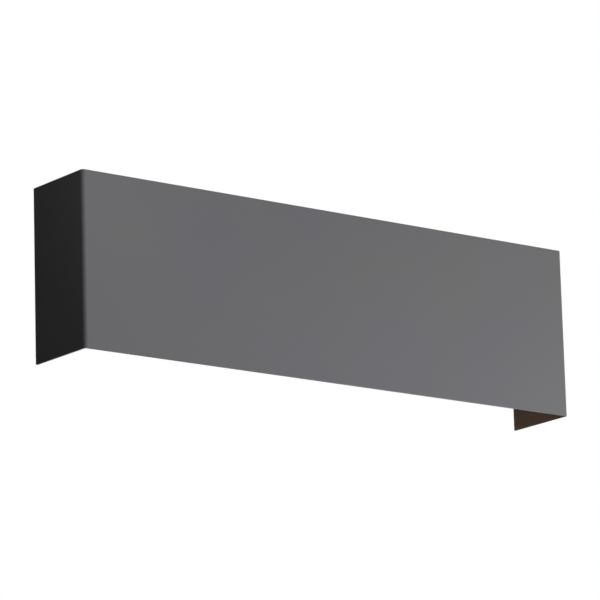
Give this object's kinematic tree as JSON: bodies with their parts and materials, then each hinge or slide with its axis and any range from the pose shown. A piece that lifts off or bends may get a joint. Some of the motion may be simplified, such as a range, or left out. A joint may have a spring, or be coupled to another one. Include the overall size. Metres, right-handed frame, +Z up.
{
  "type": "led wall light",
  "caption": "Long up and down wall light: a folded metal cover, open above, below and behind, over a finned light unit with diffusers on a wall plate.",
  "frame": {"origin": "centre of the wall plate's rear face, on the wall", "axes": "+X along the cover, to the right for someone facing the light; +Y into the wall, so the light stands out along -Y; +Z up"},
  "size_m": [0.36, 0.0508, 0.105],
  "materials": {
    "cover_paint": "fine satin powder coat, graphite",
    "galvanised_steel": "galvanised sheet",
    "housing_aluminium": "extruded, satin anodised",
    "zinc_fasteners": "bright zinc plate",
    "black_screws": "black oxide",
    "brass_parts": "plain brass",
    "tinned_lug": "tinned",
    "grommet_rubber": "matt",
    "terminal_nylon": "natural nylon",
    "driver_plastic": "fine textured moulding",
    "board_laminate": "solder mask",
    "transformer_tape": "winding tape over ferrite",
    "capacitor_sleeve": "shrink sleeve",
    "led_board_white": "white solder mask on aluminium",
    "led_phosphor": "warm phosphor, unlit",
    "opal_diffuser": "satin opal acrylic",
    "earth_insulation": "green and yellow sleeve",
    "live_insulation": "brown sleeve",
    "neutral_insulation": "blue sleeve",
    "lead_insulation": "silicone sleeve"
  },
  "bodies": {
    "wall_unit": {"wall_plate": "galvanised_steel", "cable_grommet": "grommet_rubber", "terminal_block": "terminal_nylon", "terminal_clamps": "brass_parts", "terminal_screws": "zinc_fasteners", "terminal_nut": "zinc_fasteners", "earth_washer": "zinc_fasteners", "earth_lug": "tinned_lug", "earth_nut": "brass_parts", "earth_wire": "earth_insulation", "live_wire": "live_insulation", "neutral_wire": "neutral_insulation", "driver_case": "driver_plastic", "driver_lid": "driver_plastic", "driver_circuit_board": "board_laminate", "driver_transformer": "transformer_tape", "driver_capacitors": "capacitor_sleeve", "driver_nuts": "zinc_fasteners", "led_housing": "housing_aluminium", "left_end_bracket": "housing_aluminium", "right_end_bracket": "housing_aluminium", "bracket_screws": "zinc_fasteners", "bracket_nuts": "zinc_fasteners", "upper_led_board": "led_board_white", "lower_led_board": "led_board_white", "upper_leds": "led_phosphor", "lower_leds": "led_phosphor", "led_board_screws": "zinc_fasteners", "upper_diffuser": "opal_diffuser", "lower_diffuser": "opal_diffuser", "upper_led_wires": "lead_insulation", "lower_led_wires": "lead_insulation", "lock_screws": "black_screws"},
    "cover": {"front_cover": "cover_paint", "hanger_tabs": "cover_paint", "lock_tabs": "cover_paint"}
  },
  "joints": [
    {"name": "cover_pull_off", "type": "slide", "parent": "wall_unit", "child": "cover", "axis": [0, -1, 0], "range_m": [0, 0.08]}
  ]
}
